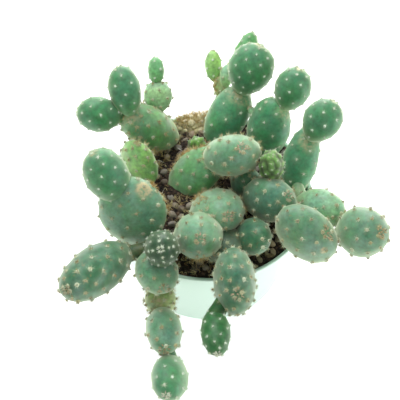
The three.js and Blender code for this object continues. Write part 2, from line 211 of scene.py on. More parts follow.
# Pads with a fringe of long golden bristles, as a share of the usual length.
BRISTLY = {"h1": 0.9, "a2": 1.2, "a1": 1.1, "b6": 1.3, "k3": 1.3, "i1": 1.1, "h2": 1.0, "c1": 0.8}

# Pads that sit on a wide joint.
WIDE_JOINTS = ("j3", "m1")

# Edges of pads with a thick fringe of golden bristles: the pad, the way that the edge faces, the
# shares of its length that the fringe runs between, how many tufts it has.
FRINGES = (("h1", (-0.6, 0.65, 0.5), 0.08, 0.85, 46), ("a2", (0.1, -0.75, -0.5), 0.02, 0.5, 40),
           ("l1", (0.9, 0.3, 0.3), 0.35, 0.85, 22), ("c1", (-0.6, -0.5, -0.3), 0.03, 0.2, 14),
           ("f1", (0.3, 0.7, 0.6), 0.1, 0.5, 14), ("b6", (-0.5, -0.6, 0.2), 0.1, 0.9, 14),
           ("i1", (-0.7, 0.5, 0.4), 0.2, 0.8, 18), ("i2", (0.1, -0.8, -0.5), 0.2, 0.9, 22))

# Healed scars: the pad, the share of its length, the angle round it, the radius in mm. Those at
# 0.999 are the corky tips of young pads.
SCARS = (("f2", 0.91, 4.1, 1.8), ("l1", 0.84, 3.75, 4.4), ("a1", 0.12, 3.0, 4.0),
         ("k3", 0.80, 4.55, 2.2), ("b2", 0.999, 4.7, 3.4), ("c2", 0.999, 4.7, 2.9),
         ("l2", 0.999, 4.7, 2.4), ("a3", 0.999, 4.7, 1.8), ("d2", 0.999, 4.7, 1.8))

# Dry fibres that lie along the back rim: how many, and their height in mm.
RIM_FIBRES = 170
RIM_FIBRE_HEIGHT = 75.5

# Long white spines that have fallen on the soil: where each one starts and ends. One of size 1
# is about so many mm long.
FALLEN_SPINES = (((-31, 20, 77.5), (-25, 18, 76)), ((-29, -9, 77), (-26, -3, 80)),
                 ((-19, 30, 77), (-14, 27, 76)))
FALLEN_LENGTH = 7


# ---------------------------------------------------------------- small helpers
def add(tree, kind, inputs=None, **settings):
    """Adds one node with its settings. Each input is set to a value, or linked to a socket or to
    the first output that is in use on another node."""
    node = tree.nodes.new(kind)
    for name, value in settings.items():
        setattr(node, name, value)
    for name, value in (inputs or {}).items():
        if isinstance(value, bpy.types.Node):
            value = next(socket for socket in value.outputs if socket.enabled)
        if isinstance(value, bpy.types.NodeSocket):
            tree.links.new(value, node.inputs[name])
        else:
            node.inputs[name].default_value = value
    return node


def mesh_object(name, vertices, faces, smooth=True):
    """A mesh from points in metres and lists of their numbers, as an object in the scene."""
    mesh = bpy.data.meshes.new(name)
    mesh.from_pydata([tuple(v) for v in vertices], [], faces)
    mesh.validate()
    if smooth:
        mesh.polygons.foreach_set("use_smooth", [True] * len(mesh.polygons))
    mesh.update()
    obj = bpy.data.objects.new(name, mesh)
    bpy.context.scene.collection.objects.link(obj)
    return obj


def store(mesh, name, values):
    """Keeps one number, direction or colour for each point of a mesh, for a material or tree."""
    values = np.asarray(values, np.float32)
    kind, field = {1: ("FLOAT", "value"), 3: ("FLOAT_VECTOR", "vector"),
                   4: ("FLOAT_COLOR", "color")}[values.shape[1] if values.ndim > 1 else 1]
    mesh.attributes.new(name, kind, "POINT").data.foreach_set(field, values.ravel())


def baked(obj, name):
    """The object with its modifiers worked out, as a plain mesh under its final name."""
    graph = bpy.context.evaluated_depsgraph_get()
    mesh = bpy.data.meshes.new_from_object(obj.evaluated_get(graph))
    mesh.name = name
    source = obj.data
    obj.modifiers.clear()
    obj.data = mesh
    obj.name = name
    bpy.data.meshes.remove(source)
    return obj


def grow(obj, tree, **values):
    """Puts a Geometry Nodes tree on an object and sets its inputs by their identifiers."""
    modifier = obj.modifiers.new(tree.name, "NODES")
    modifier.node_group = tree
    for item in tree.interface.items_tree:
        key = item.name.lower().replace(" ", "_")
        if item.in_out == "INPUT" and key in values:
            modifier[item.identifier] = values[key]


def new_tree(name, *sockets):
    """An empty Geometry Nodes tree with its named inputs, and those inputs' sockets."""
    tree = bpy.data.node_groups.new(name, "GeometryNodeTree")
    for title, kind, default in (("Geometry", "Geometry", None), *sockets,
                                 ("Seed", "Int", 1), ("Finish", "Material", None)):
        socket = tree.interface.new_socket(title, in_out="INPUT", socket_type="NodeSocket" + kind)
        if default is not None:
            socket.default_value = default
    tree.interface.new_socket("Geometry", in_out="OUTPUT", socket_type="NodeSocketGeometry")
    return tree, add(tree, "NodeGroupInput").outputs


def end_tree(tree, given, real, smooth=True):
    """Ends a tree: its real geometry gets its material and goes out."""
    if smooth:
        real = add(tree, "GeometryNodeSetShadeSmooth", {"Geometry": real})
    done = add(tree, "GeometryNodeSetMaterial", {"Geometry": real, "Material": given["Finish"]})
    add(tree, "NodeGroupOutput", {0: done})
    return tree


def seat(obj, slot, *nodes):
    """Puts a finished piece on the plant: it rides on the root body and stands for its nodes,
    which are hidden. Its slot is not used.
    What stands out of the CAD box, such as the end of a spine, is trimmed to it."""
    places = np.empty(len(obj.data.vertices) * 3, np.float32)
    obj.data.vertices.foreach_get("co", places)
    places = np.clip(places.reshape(-1, 3), *(np.array(corner) for corner in CAD_BOX))
    obj.data.vertices.foreach_set("co", places.astype(np.float32).ravel())
    obj.data.update()
    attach(obj, "root")
    if nodes:
        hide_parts(*nodes)


def lerp(first, second, share):
    """A row of values between two for each share, from the first (0) to the second (1)."""
    share = np.asarray(share)[..., None]
    return np.asarray(first) * (1 - share) + np.asarray(second) * share


def blend(first, second, share):
    """A colour between two hex colours for each share."""
    return lerp(linear(first), linear(second), share)


def wave(points, scale, seed):
    """Smooth noise from -1 to 1 at each point, with waves of about the given size in mm."""
    shift = Vector((seed * 7.3, seed * 3.1, seed * 5.7))
    return np.array([noise.noise(Vector(point) / scale + shift) for point in points])


# ---------------------------------------------------------------- pad shape
PAD_SKEW = 1.12
PAD_FULLNESS = 0.52
TIP_BLUNTNESS = 0.12
TIP_START, TIP_BLEND = 0.55, 0.35


def pad_directions(pad):
    """The directions along a pad, across its breadth and through its thickness."""
    around, up, roll = (math.radians(v) for v in (*pad.aim, pad.roll))
    along = Vector((math.cos(around) * math.cos(up), math.sin(around) * math.cos(up),
                    math.sin(up)))
    level = Vector((-math.sin(around), math.cos(around), 0))
    across = level * math.cos(roll) + level.cross(along) * math.sin(roll)
    return np.array(along), np.array(across), np.array(across.cross(along))


def pad_profile(share):
    """Half-breadth of a pad as a share of its widest, from its lower end (0) to its tip (1)."""
    share = np.clip(np.asarray(share, float), 0, 1)
    blunt = np.clip((share - TIP_START) / TIP_BLEND, 0, 1)
    fullness = PAD_FULLNESS - TIP_BLUNTNESS * blunt ** 2 * (3 - 2 * blunt)
    return np.power(np.clip(np.sin(np.pi * np.power(share, PAD_SKEW)), 0, 1), fullness)


def pad_surface(pad, share, angle):
    """Spots on a pad's plain surface in mm, and the directions they face."""
    length, breadth, thickness = pad.size
    along, across, through = pad_directions(pad)
    share, angle = (values[..., None] for values in np.broadcast_arrays(share, angle))
    radius, step = pad_profile(share), 0.002
    slope = (pad_profile(share + step) - pad_profile(share - step)) / (2 * step)
    side, face = np.cos(angle), np.sin(angle)
    points = (np.array(pad.base, float) + along * share * length
              + across * radius * side * breadth / 2 + through * radius * face * thickness / 2)
    outward = (across * side * 2 / breadth + through * face * 2 / thickness
               - along * slope / length)
    return points, outward / np.linalg.norm(outward, axis=-1, keepdims=True)


def axis_point(pad, share):
    """The point in mm on a pad's own axis at a share of its length."""
    return np.array(pad.base, float) + pad_directions(pad)[0] * pad.size[0] * share


def depth_in_pad(pad, points, margin=0.0):
    """How deep points are in a pad grown by a margin: below 1 is inside."""
    length, breadth, thickness = pad.size
    along, across, through = pad_directions(pad)
    offset = points - np.array(pad.base, float)
    share = (offset @ along + margin) / (length + 2 * margin)
    side = offset @ across / (breadth / 2 + margin)
    face = offset @ through / (thickness / 2 + margin)
    depth = np.hypot(side, face) / np.maximum(pad_profile(share), 1e-3)
    return np.where((share <= 0) | (share >= 1), 9.0, depth)


def rings_of_faces(first, rings, sides):
    """Four-sided faces between rings of points, each ring closed on itself."""
    faces = []
    for ring in range(rings - 1):
        low = first + ring * sides
        for col in range(sides):
            nxt = (col + 1) % sides
            faces.append((low + col, low + nxt, low + sides + nxt, low + sides + col))
    return faces


def caps(foot, first, tip, last, sides):
    """Three-sided faces from a foot point to the first ring and from the last ring to a tip."""
    faces = []
    for col in range(sides):
        nxt = (col + 1) % sides
        faces.append((foot, first + nxt, first + col))
        faces.append((tip, last + col, last + nxt))
    return faces


def end_faces(rings, sides):
    """The two flat many-sided faces that close a turned shape."""
    return [tuple(reversed(range(sides))),
            tuple((rings - 1) * sides + col for col in range(sides))]


# A pad's areoles sit in columns and staggered rows, so far apart as shares of their spacing. Its
# faces are about so many mm, and its outline is so much longer than the pad itself.
COLUMN_GAP, ROW_GAP = 1.38, 0.73
FACE_AROUND, FACE_ALONG = 2.2, 1.1
OUTLINE_LENGTH = 1.3
BARE_FOOT = 0.07


def pad_grid(pad, seed):
    """A pad's surface: points in mm, outward directions, faces, heights and areoles. The areoles
    sit in a staggered lattice, as the leaves of a shoot do."""
    length, breadth, thickness = pad.size
    spacing = SKINS[pad.skin].spacing
    girth = math.pi * (breadth + thickness) / 2
    columns = max(4, round(girth / (spacing * COLUMN_GAP)))
    rows = max(3, round(length * OUTLINE_LENGTH / (spacing * ROW_GAP)))
    fine_around = 2 * max(3, round(girth / columns / FACE_AROUND))
    fine_along = max(3, round(length * OUTLINE_LENGTH / rows / FACE_ALONG))
    around, steps = columns * fine_around, rows * fine_along
    share = (1 - np.cos(np.pi * np.arange(1, steps) / steps)) / 2
    angle = 2 * np.pi * np.arange(around) / around + 0.5 * seed
    rings, out = pad_surface(pad, share[:, None], angle[None, :])
    along = pad_directions(pad)[0]
    points = np.concatenate([rings.reshape(-1, 3), [axis_point(pad, 0), axis_point(pad, 1)]])
    outward = np.concatenate([out.reshape(-1, 3), [-along, along]])
    height = np.concatenate([np.repeat(share, around), [0, 1]])
    faces = rings_of_faces(0, steps - 1, around)
    faces += caps(len(points) - 2, 0, len(points) - 1, (steps - 2) * around, around)
    areoles = []
    for row in range(rows):
        ring = fine_along // 2 + row * fine_along
        if ring >= len(share) or share[ring] < BARE_FOOT:
            continue
        crowded = girth * pad_profile(share[ring]) < columns * spacing * 0.8
        for number in range(0, columns, 2 if crowded else 1):
            col = number * fine_around + (row % 2) * fine_around // (1 if crowded else 2)
            areoles.append(ring * around + col % around)
    return points, outward, faces, height, np.array(areoles, int)


def rod_grid(start, end, radius_start, radius_end, sides=20, rings=9, waist=0.0):
    """A closed round rod between two points in mm: points, outward directions and faces."""
    start, end = np.array(start, float), np.array(end, float)
    along = (end - start) / np.linalg.norm(end - start)
    helper = np.array([0, 0, 1.0]) if abs(along[2]) < 0.9 else np.array([1.0, 0, 0])
    across = np.cross(helper, along)
    across /= np.linalg.norm(across)
    share = np.linspace(0, 1, rings)[:, None, None]
    angle = (2 * np.pi * np.arange(sides) / sides)[None, :, None]
    out = across * np.cos(angle) + np.cross(along, across) * np.sin(angle)
    radius = radius_start + (radius_end - radius_start) * share
    radius = radius * (1 - waist * np.sin(np.pi * share))
    points = start + (end - start) * share + out * radius
    faces = rings_of_faces(0, rings, sides) + end_faces(rings, sides)
    return points.reshape(-1, 3), np.broadcast_to(out, points.shape).reshape(-1, 3), faces


def joint_ends(pad, parent):
    """Where the narrow joint between two pads starts and ends, and its radius in mm."""
    seats = [axis_point(parent, 0.3 + 0.05 * step) for step in range(12)]
    start = min(seats, key=lambda point: np.linalg.norm(point - np.array(pad.base, float)))
    share = 0.3 if pad.name in WIDE_JOINTS else 0.22
    return start, axis_point(pad, 0.2), share * min(pad.size[2], parent.size[2])


def soil_height(x, y):
    """Height of the soil in mm: a low mound that meets the pot just under its rim."""
    out = np.minimum(1, np.hypot(x, y - SOIL_MOUND_Y) / (POT_RIM_RADIUS - POT_WALL))
    ripple = 0.5 * np.sin(x * 0.31 + y * 0.17) + 0.4 * np.sin(y * 0.37 - x * 0.11)
    return SOIL_EDGE + SOIL_MOUND * (1 - out * out) + ripple


def heaped(x, y):
    """How high gravel is heaped at a spot, as a share of the heap's own height."""
    return np.exp(-((x - HEAP_MIDDLE[0]) / HEAP_SPREAD[0]) ** 2
                  - ((y - HEAP_MIDDLE[1]) / HEAP_SPREAD[1]) ** 2)


# ---------------------------------------------------------------- stems and areoles
ALL_PADS = [pad for stem in STEMS.values() for pad in stem]
SKIN_LAYERS = ("tint", "cork", "bloom", "rust", "near")

# The breadth of the bumps under the areoles, as shares of their spacing. The rest is in mm: how
# far the skin swells and ripples, how far it lies within its plain shape, and where pegs end.
BUMP_WIDTH, SPROUT_BUMP_WIDTH = 0.29, 0.40
SWELL, RIPPLE, INSET = 0.3, 0.06, 0.05
PEG_BOTTOM = 52
PEG_RADIUS = 4.5


def build_pad(pad, children, seed, bump_scale):
    """One pad with its bumps: points in mm, faces, skin values and its areoles."""
    points, outward, faces, height, areoles = pad_grid(pad, seed)
    body, bloom, cork, age, bump, spacing = SKINS[pad.skin]
    lumpy = pad.skin == "sprout"
    gaps = points[:, None, :] - points[areoles][None, :, :]
    lump = (SPROUT_BUMP_WIDTH if lumpy else BUMP_WIDTH) * spacing
    near = np.exp(-((gaps ** 2).sum(-1).min(1)) / lump ** 2)
    slow, quick = wave(points, 11, seed), wave(points, 3.2, seed + 9)
    rise = bump * bump_scale * near + SWELL * slow + RIPPLE * quick - INSET
    # Cork covers the foot, the places that children grow from, and healed scars.
    foot = np.clip((0.22 - height) / 0.22 + 0.3 * slow, 0, 1)
    scarred = cork * foot
    for child in children:
        reach = np.linalg.norm(points - np.array(child.base, float), axis=1)
        scarred = np.maximum(scarred, 0.8 * np.exp(-(reach / (0.28 * child.size[1])) ** 4))
    for name, share, angle, radius in SCARS:
        if name == pad.name:
            reach = np.linalg.norm(points - pad_surface(pad, share, angle)[0], axis=1)
            scarred = np.maximum(scarred, (2 if age else 1) * np.exp(-(reach / radius) ** 4))
    rust = np.clip(quick * 1.6 - 0.4 + 0.5 * cork * age, 0.12, 1) * (0.15 + 0.85 * age)
    # Flesh wanders between a bluer and a yellower green, and is yellower at the foot. An old pad
    # greys in patches, and a sprout is painted much darker in the hollows between its lumps, as
    # painted shade.
    flesh = np.array(linear(body))
    bluer, yellower = flesh * (0.89, 0.99, 1.08, 1), flesh * (1.20, 1.06, 0.80, 1)
    tint = lerp(bluer, yellower, np.clip(0.42 + 0.9 * slow + 0.35 * foot, 0, 1))
    # The flesh is also made a little darker towards the foot.
    tint[:, :3] *= (1 + 0.12 * slow + 0.12 * quick - 0.12 * foot)[:, None]
    greyed = 0.6 * age * np.clip(wave(points, 6, seed + 20) + 0.1, 0, 1)[:, None]
    tint += (np.array(linear("#7b9a90")) - tint) * greyed
    # Painted shade: a sprout's colour is made far darker in the hollows between its lumps, and a
    # little lighter on the lumps.
    if lumpy:
        tint[:, :3] *= (0.12 + 1.1 * near ** 2)[:, None]
    return {
        "points": points + outward * rise[:, None], "faces": faces, "tint": tint,
        "cork": scarred, "bloom": bloom * (0.6 + 0.7 * height), "rust": rust,
        "near": near, "areoles": areoles, "outward": outward,
        "age": np.clip(age + 0.55 * np.clip((height - 0.86) / 0.1, 0, 1), 0, 1),
        "name": pad.name, "spacing": spacing, "old": age > 0.45,
        "woolly": 0.45 if lumpy else 1.0, "bristly": BRISTLY.get(pad.name, 0.6),
    }


def build_rod(start, end, radius_start, radius_end, pad, waist=0.0, parent=None):
    """A joint, which takes its colour from the pads at its two ends."""
    points, outward, faces = rod_grid(start, end, radius_start, radius_end, waist=waist)
    body, bloom, cork, _, _, _ = SKINS[pad.skin]
    along = (points - start) @ (end - start) / ((end - start) @ (end - start))
    none = np.zeros(len(points))
    rough = wave(points, 2.5, 3)
    green = blend(SKINS[(parent or pad).skin].body, body, np.clip(along, 0, 1))
    green *= (0.85, 0.76, 0.62, 1)
    bark = 0.5 * cork ** 2 + 0.3 * rough
    return {
        "points": points + outward * (0.3 * rough)[:, None], "faces": faces,
        "tint": lerp(green, linear("#8a8a58"), np.clip(bark, 0, 1)),
        "cork": none + 0.9 * cork ** 2, "bloom": none + bloom,
        "rust": np.clip(rough, 0, 1), "near": none, "areoles": np.array([], int),
    }


def build_stem(name, pads, bump_scale, first_seed):
    """Every shell of one stem in one mesh, and its shells."""
    by_name = {pad.name: pad for pad in pads}
    shells = []
    for number, pad in enumerate(pads):
        children = [child for child in pads if child.parent == pad.name]
        shells.append(build_pad(pad, children, first_seed + number, bump_scale))
        if pad.parent:
            parent = by_name[pad.parent]
            start, end, radius = joint_ends(pad, parent)
            shells.append(build_rod(start, end, radius, radius * 1.15, pad, 0.1, parent))
        else:
            radius = min(PEG_RADIUS, pad.size[2] * 0.3)
            x, y, z = pad.base
            foot, neck = np.array([x, y, PEG_BOTTOM]), np.array([x, y, z + 1.0])
            shells.append(build_rod(foot, neck, radius * 0.7, radius, pad))
            shells.append(build_rod(neck, axis_point(pad, 0.3), radius, radius, pad))
    faces, offset = [], 0
    for shell in shells:
        faces += [tuple(index + offset for index in face) for face in shell["faces"]]
        offset += len(shell["points"])
    obj = mesh_object(name, np.concatenate([shell["points"] for shell in shells]) * MM, faces)
    for layer in SKIN_LAYERS:
        store(obj.data, layer, np.concatenate([shell[layer] for shell in shells]))
    return obj, shells


def areole_seats(stems):
    """Every areole that shows: places in mm, directions, ages, lattice spacing, whether it is
    old, how much wool it has and how long its bristles are."""
    shells = [shell for stem in stems.values() for shell in stem if len(shell["areoles"])]
    places, outward, age = (np.concatenate([shell[key][shell["areoles"]] for shell in shells])
                            for key in ("points", "outward", "age"))
    name, spacing, old, woolly, bristly = (
        np.concatenate([[shell[key]] * len(shell["areoles"]) for shell in shells])
        for key in ("name", "spacing", "old", "woolly", "bristly"))
    shown = places[:, 2] > soil_height(places[:, 0], places[:, 1]) + 1.5
    shown |= np.hypot(places[:, 0], places[:, 1]) > POT_RIM_RADIUS + 1
    for pad in ALL_PADS:
        shown &= (depth_in_pad(pad, places, 0.2) >= 1) | (name == pad.name)
    return (values[shown] for values in (places, outward, age, spacing, old, woolly, bristly))


def fringe_seats(chance):
    """Spots of the long golden bristles along the edges of pads, and the way they point."""
    sides = 72
    around = np.linspace(0, 2 * np.pi, sides, endpoint=False)
    places, aims = [], []
    for name, way, low, high, count in FRINGES:
        pad = next(pad for pad in ALL_PADS if pad.name == name)
        way = np.array(way) / np.linalg.norm(way)
        for share in chance.uniform(low, high, count):
            line, out = pad_surface(pad, share, around)
            spot = int(np.argmax(out @ way + chance.uniform(0, 0.25, sides)))
            places.append(line[spot] - out[spot] * 0.2)
            aims.append(out[spot] + chance.normal(size=3) * 0.35)
    return np.array(places), np.array(aims)


STAR_ARM_LENGTHS = (0.95, 0.80, 1.05, 0.88)
STAR_FULL_REACH = 3.4


def star_seats():
    """The crowded areoles at a pad's tip: places, facing, sizes, colours and the way each of
    the seven arms points."""
    seats = []
    for number, pad in enumerate(pad for pad in ALL_PADS if pad.name in STARS):
        reach, wool = STARS[pad.name]
        size, wool = reach / STAR_FULL_REACH, linear(wool)
        along, tip = pad_directions(pad)[0], axis_point(pad, 1.0)
        seats.append((tip - along * 0.2, along, size, wool, along))
        for arm in range(7):
            angle = 2 * math.pi * arm / 7 + number
            far = STAR_ARM_LENGTHS[(arm + number) % 4] * reach
            line, out = pad_surface(pad, np.linspace(1, 0.75, 200), angle)
            spot = int(np.argmin(np.abs(np.linalg.norm(line - tip, axis=1) - far * 0.62)))
            away = (line[spot] - tip) / np.linalg.norm(line[spot] - tip)
            seats.append((line[spot], out[spot], size * 0.8, wool, away + out[spot] * 0.35))
    return (np.array(values) for values in zip(*seats))


# ---------------------------------------------------------------- what is strewn or repeated
# A random-value node has sockets by number: 0 and 1 for the ends of a vector, 2 and 3 for those
# of a number, 8 for the seed.
def seats_in(tree, given):
    """A tree's seats as points, their sizes, and the turns that make a shape face outwards."""
    dots = add(tree, "GeometryNodeMeshToPoints", {"Mesh": given["Geometry"]})
    size = add(tree, "GeometryNodeInputNamedAttribute", {"Name": "size"}, data_type="FLOAT")
    outward = add(tree, "GeometryNodeInputNamedAttribute", {"Name": "outward"},
                  data_type="FLOAT_VECTOR")
    return dots, size, add(tree, "FunctionNodeAlignRotationToVector", {"Vector": outward},
                           axis="Z")


def needle_tree():
    """Tufts of straight needles, fanned round each seat's outward direction."""
    tree, given = new_tree("Tufts of needles", ("Count", "Int", 5), ("Length", "Float", 2 * MM),
                           ("Foot Radius", "Float", 0.2 * MM), ("Least Lean", "Float", 0.1),
                           ("Most Lean", "Float", 0.9), ("Ring Radius", "Float", 0.0))
    dots, size, facing = seats_in(tree, given)
    many = add(tree, "GeometryNodeDuplicateElements",
               {"Geometry": dots, "Amount": given["Count"]}, domain="POINT")
    chance = []
    for step in range(3):
        seed = add(tree, "ShaderNodeMath", {0: given["Seed"], 1: float(step)}, operation="ADD")
        chance.append(add(tree, "FunctionNodeRandomValue", {8: seed}, data_type="FLOAT"))
    turn = add(tree, "ShaderNodeMath", {0: many.outputs["Duplicate Index"], 1: GOLDEN_ANGLE,
                                        2: chance[0]}, operation="MULTIPLY_ADD")
    lean = add(tree, "ShaderNodeMapRange", {"Value": chance[1], "To Min": given["Least Lean"],
                                            "To Max": given["Most Lean"]})
    flat, rise, cosine, sine = (
        add(tree, "ShaderNodeMath", {0: angle}, operation=kind)
        for angle, kind in ((lean, "SINE"), (lean, "COSINE"), (turn, "COSINE"), (turn, "SINE")))
    east, north = (add(tree, "ShaderNodeMath", {0: flat, 1: part}, operation="MULTIPLY")
                   for part in (cosine, sine))
    aimed, ring = (
        add(tree, "FunctionNodeRotateVector", {"Vector": way, "Rotation": facing})
        for way in (add(tree, "ShaderNodeCombineXYZ", {0: east, 1: north, 2: up})
                    for up in (rise, 0.0)))
    reach = add(tree, "ShaderNodeMath", {0: given["Ring Radius"], 1: size},
                operation="MULTIPLY")
    shift = add(tree, "ShaderNodeVectorMath", {0: ring, "Scale": reach}, operation="SCALE")
    spread = add(tree, "GeometryNodeSetPosition", {"Geometry": many, "Offset": shift})
    cone = add(tree, "GeometryNodeMeshCone", {"Vertices": 4, "Radius Top": 0.0,
                                              "Radius Bottom": 1.0, "Depth": 1.0})
    turned = add(tree, "FunctionNodeAlignRotationToVector", {"Vector": aimed}, axis="Z")
    varied = add(tree, "ShaderNodeMapRange", {"Value": chance[2], "To Min": 0.65,
                                              "To Max": 1.1})
    length = add(tree, "ShaderNodeMath", {0: given["Length"], 1: varied}, operation="MULTIPLY")
    sized = add(tree, "ShaderNodeMath", {0: length, 1: size}, operation="MULTIPLY")
    scale = add(tree, "ShaderNodeCombineXYZ",
                {0: given["Foot Radius"], 1: given["Foot Radius"], 2: sized})
    placed = add(tree, "GeometryNodeInstanceOnPoints", {
        "Points": spread, "Instance": cone, "Rotation": turned, "Scale": scale})
    real = add(tree, "GeometryNodeRealizeInstances", {0: placed})
    return end_tree(tree, given, real, smooth=False)


def cushion_tree():
    """A small domed cushion of felt on each seat."""
    tree, given = new_tree("Areole cushions", ("Radius", "Float", 0.8 * MM),
                           ("Dome", "Float", 0.6))
    dots, size, facing = seats_in(tree, given)
    chance = add(tree, "FunctionNodeRandomValue", {0: (0.75, 0.75, 0.8), 1: (1.2, 1.2, 1.1),
                                                   8: given["Seed"]}, data_type="FLOAT_VECTOR")
    flat = add(tree, "ShaderNodeCombineXYZ", {0: 1.0, 1: 1.0, 2: given["Dome"]})
    wide = add(tree, "ShaderNodeMath", {0: given["Radius"], 1: size}, operation="MULTIPLY")
    mixed = add(tree, "ShaderNodeVectorMath", {0: flat, 1: chance}, operation="MULTIPLY")
    scale = add(tree, "ShaderNodeVectorMath", {0: mixed, "Scale": wide}, operation="SCALE")
    ball = add(tree, "GeometryNodeMeshUVSphere", {"Segments": 8, "Rings": 5, "Radius": 1.0})
    placed = add(tree, "GeometryNodeInstanceOnPoints", {
        "Points": dots, "Instance": ball, "Rotation": facing, "Scale": scale})
    real = add(tree, "GeometryNodeRealizeInstances", {0: placed})
    return end_tree(tree, given, real)


def scatter_tree():
    """Small rounded stones, chips or crumbs lying on a surface, each with its own shape."""
    tree, given = new_tree("Scattered grains", ("Spacing", "Float", 4 * MM),
                           ("Density", "Float", 1e5), ("Smallest", "Float", 1 * MM),
                           ("Largest", "Float", 3 * MM), ("Stretch", "Float", 1.0),
                           ("Tilt", "Float", 0.5), ("Detail", "Int", 2),
                           ("Roughness", "Float", 0.3), ("Sunk", "Float", 0.2))
    clear = add(tree, "GeometryNodeInputNamedAttribute", {"Name": "open"}, data_type="FLOAT")
    dots = add(tree, "GeometryNodeDistributePointsOnFaces", {
        "Mesh": given["Geometry"], "Distance Min": given["Spacing"],
        "Density Max": given["Density"], "Density Factor": clear,
        "Seed": given["Seed"]}, distribute_method="POISSON")
    turn = add(tree, "FunctionNodeRandomValue", {0: (-1.0, -1.0, 0.0), 1: (1.0, 1.0, 6.28),
                                                 8: given["Seed"]}, data_type="FLOAT_VECTOR")
    tilt = add(tree, "ShaderNodeCombineXYZ", {0: given["Tilt"], 1: given["Tilt"], 2: 1.0})
    shape = add(tree, "FunctionNodeRandomValue", {0: (0.75, 0.65, 0.45), 1: (1.15, 1.0, 0.8),
                                                  8: given["Seed"]}, data_type="FLOAT_VECTOR")
    long = add(tree, "ShaderNodeCombineXYZ", {0: given["Stretch"], 1: 1.0, 2: 1.0})
    turned, shaped = (add(tree, "ShaderNodeVectorMath", {0: a, 1: b}, operation="MULTIPLY")
                      for a, b in ((turn, tilt), (shape, long)))
    size = add(tree, "FunctionNodeRandomValue", {2: given["Smallest"], 3: given["Largest"],
                                                 8: given["Seed"]}, data_type="FLOAT")
    scale = add(tree, "ShaderNodeVectorMath", {0: shaped, "Scale": size}, operation="SCALE")
    ball = add(tree, "GeometryNodeMeshIcoSphere", {"Radius": 1.0,
                                                   "Subdivisions": given["Detail"]})
    placed = add(tree, "GeometryNodeInstanceOnPoints", {
        "Points": dots, "Instance": ball, "Rotation": turned, "Scale": scale})
    number = add(tree, "GeometryNodeInputIndex")
    pick = add(tree, "FunctionNodeRandomValue", {"ID": number, 8: given["Seed"]},
               data_type="FLOAT")
    named = add(tree, "GeometryNodeStoreNamedAttribute", {
        "Geometry": placed, "Name": "pick", "Value": pick}, data_type="FLOAT",
        domain="INSTANCE")
    real = add(tree, "GeometryNodeRealizeInstances", {0: named})
    frequency = add(tree, "ShaderNodeMath", {0: 0.9, 1: given["Largest"]}, operation="DIVIDE")
    lumps = add(tree, "ShaderNodeTexNoise", {
        "Vector": add(tree, "GeometryNodeInputPosition"), "Detail": 1.0, "Scale": frequency})
    centred = add(tree, "ShaderNodeVectorMath", {0: lumps.outputs["Color"],
                                                 1: (0.5, 0.5, 0.5)}, operation="SUBTRACT")
    amount, sink = (add(tree, "ShaderNodeMath", {0: given[share], 1: given[whole]},
                        operation="MULTIPLY")
                    for share, whole in (("Roughness", "Largest"), ("Sunk", "Smallest")))
    push = add(tree, "ShaderNodeVectorMath", {0: centred, "Scale": amount}, operation="SCALE")
    drop = add(tree, "ShaderNodeCombineXYZ", {2: sink})
    total = add(tree, "ShaderNodeVectorMath", {0: push, 1: drop}, operation="SUBTRACT")
    moved = add(tree, "GeometryNodeSetPosition", {"Geometry": real, "Offset": total})
    return end_tree(tree, given, moved)


def tufts(name, slot, tree, seats, **values):
    """Grows one piece from its seats: places in mm, directions, sizes and colours."""
    obj = mesh_object(name, seats[0] * MM, [], smooth=False)
    for layer, data in zip(("outward", "size", "tint"), seats[1:]):
        store(obj.data, layer, data)
    grow(obj, tree, **values)
    seat(baked(obj, name), slot)


# Kinds of bristles, spines and fibres: how many stand on a seat, their length and the radius of
# their foot in mm, the least and most that they lean in radians, the radius in mm of the ring
# that their feet stand on, and a seed.
SPINE_LENGTH = 2.8
BRISTLES = {
    "areole_fuzz": (9, 1.4, 0.12, 0.30, 1.35, 0.5, 5),
    "glochids": (8, 1.6, 0.11, 0.00, 0.80, 0.5, 7),
    "golden_bristles": (11, SPINE_LENGTH * 1.15, 0.11, 0.20, 1.25, 0.4, 8),
    "golden_fringe": (7, SPINE_LENGTH * 1.3, 0.12, 0.10, 0.90, 0.6, 10),
    "spines": (3, SPINE_LENGTH, 0.12, 0.15, 1.00, 0.3, 9),
    "star_spines": (6, 2.4, 0.14, 0.00, 0.45, 0.5, 15),
    "root_fibres": (4, 4.8, 0.14, 0.10, 0.90, 0.8, 21),
    "fallen_spines": (1, 8.0, 0.20, 0.00, 0.00, 0.0, 22),
}


def bristles(name, tree, finish, seats, longer=1.0, slot="cactus_skin"):
    """Grows one kind of bristle, spine or fibre from its seats."""
    count, length, radius, least_lean, most_lean, ring, seed = BRISTLES[name]
    tufts(name, slot, tree, seats, count=count, length=length * MM * longer,
          foot_radius=radius * MM, least_lean=least_lean, most_lean=most_lean,
          ring_radius=ring * MM, seed=seed, finish=finish)


# ---------------------------------------------------------------- materials
# A colour mix has its share at socket 0 and its two colours at sockets 6 and 7.
def new_material(name):
    """An empty material, its node tree, and the place that its patterns are read at."""
    material = bpy.data.materials.new(name)
    material.use_nodes = True
    tree = material.node_tree
    tree.nodes.clear()
    return material, tree, add(tree, "ShaderNodeTexCoord").outputs["Object"]


def finished(material, inputs):
    """A material whose shader has the given inputs."""
    shader = add(material.node_tree, "ShaderNodeBsdfPrincipled", inputs)
    add(material.node_tree, "ShaderNodeOutputMaterial", {"Surface": shader})
    return material


